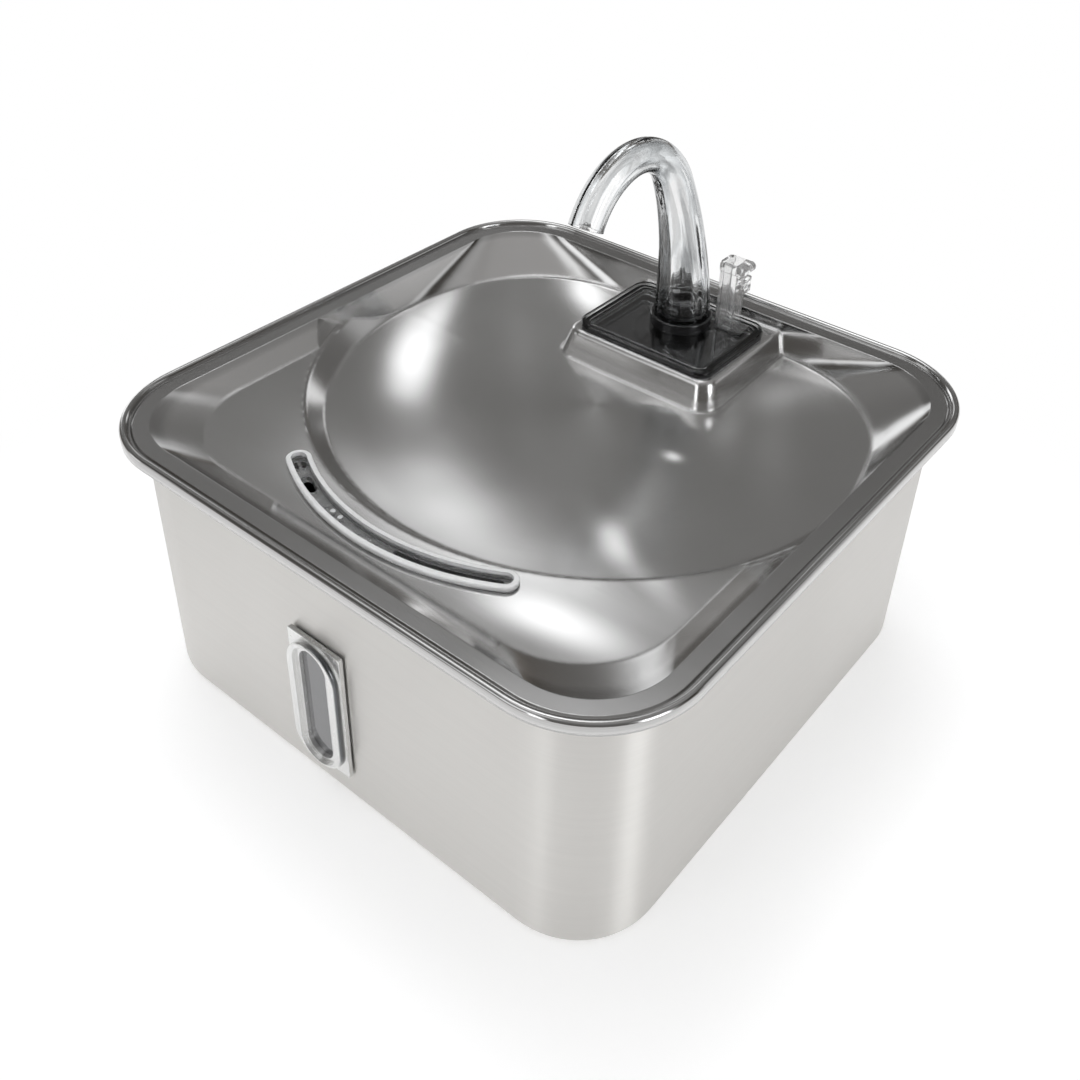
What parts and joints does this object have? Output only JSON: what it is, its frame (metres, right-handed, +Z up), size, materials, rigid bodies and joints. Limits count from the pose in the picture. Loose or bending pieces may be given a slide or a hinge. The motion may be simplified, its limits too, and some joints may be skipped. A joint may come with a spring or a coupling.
{
  "type": "pet water fountain",
  "caption": "Square stainless pet water fountain: tank with sight window, lift-off tray with a shallow dish, clear swivelling gooseneck faucet, submerged pump and pull-out filter.",
  "frame": {"origin": "centre of the flat base, on the surface the fountain stands on", "axes": "+Z up, -Y the front wall with the sight window, +Y the back with the faucet, +X to the right seen from the front"},
  "size_m": [0.29, 0.29, 0.2418],
  "materials": {
    "tank_steel": "satin, fine brushed grain running round the walls",
    "tray_steel": "bright pressed stainless, satin in the dish",
    "clear_plastic": "clear moulded acrylic",
    "grey_lens": "smoked translucent",
    "black_gloss": "glossy",
    "black_matte": "fine matt",
    "white_plastic": "fine matt",
    "black_rubber": "matt",
    "soft_tube": "smooth translucent",
    "white_fibre": "felted fibre",
    "charcoal": "granular",
    "black_sponge": "open foam",
    "magnet": "satin",
    "ceramic": "polished ceramic"
  },
  "bodies": {
    "tank": {"tank": "tank_steel", "window_plate": "clear_plastic", "window_lens": "grey_lens", "window_gasket": "black_rubber", "window_frame": "clear_plastic", "filter_box": "black_matte", "box_lid": "black_gloss", "nozzle_ring": "black_rubber", "intake_sponge": "black_sponge", "suction_cups": "black_rubber", "pump_body": "black_matte", "chamber_cover": "black_matte", "impeller_shaft": "ceramic", "shaft_bushes": "black_rubber", "riser_tube": "soft_tube", "cable_gland": "black_rubber"},
    "tray": {"tray": "tray_steel"},
    "drain": {"drain_insert": "clear_plastic"},
    "cover": {"outlet_cover": "clear_plastic", "cover_gasket": "black_rubber", "cable_guide": "clear_plastic"},
    "faucet_seat": {"faucet_collar": "black_gloss"},
    "faucet": {"faucet": "clear_plastic"},
    "filter_drawer": {"intake_grille": "black_matte", "cartridge_frame": "white_plastic", "fibre_pad": "white_fibre", "carbon_pad": "charcoal"},
    "rotor": {"impeller": "white_plastic", "rotor_magnet": "magnet"},
    "flow_dial": {"flow_dial": "white_plastic"}
  },
  "joints": [
    {"name": "tray_lift", "type": "slide", "parent": "tank", "child": "tray", "axis": [0, 0, 1], "range_m": [0, 0.12]},
    {"name": "drain_lift", "type": "slide", "parent": "tray", "child": "drain", "axis": [0, 0, 1], "range_m": [0, 0.015]},
    {"name": "cover_lift", "type": "slide", "parent": "tray", "child": "cover", "axis": [0, 0, 1], "range_m": [0, 0.06]},
    {"name": "faucet_lift", "type": "slide", "parent": "cover", "child": "faucet_seat", "axis": [0, 0, 1], "range_m": [0, 0.04]},
    {"name": "faucet_swivel", "type": "hinge", "parent": "faucet_seat", "child": "faucet", "pos_m": [0, 0.104, 0.1337], "axis": [0, 0, 1], "range_deg": [-60, 60]},
    {"name": "drawer_slide", "type": "slide", "parent": "tank", "child": "filter_drawer", "axis": [0, -1, 0], "range_m": [0, 0.06]},
    {"name": "impeller_spin", "type": "hinge", "parent": "tank", "child": "rotor", "pos_m": [0.009, 0.104, 0.03], "axis": [1, 0, 0], "continuous": true},
    {"name": "flow_dial_turn", "type": "hinge", "parent": "tank", "child": "flow_dial", "pos_m": [-0.0104, 0.104, 0.03], "axis": [1, 0, 0], "range_deg": [0, 30]}
  ]
}
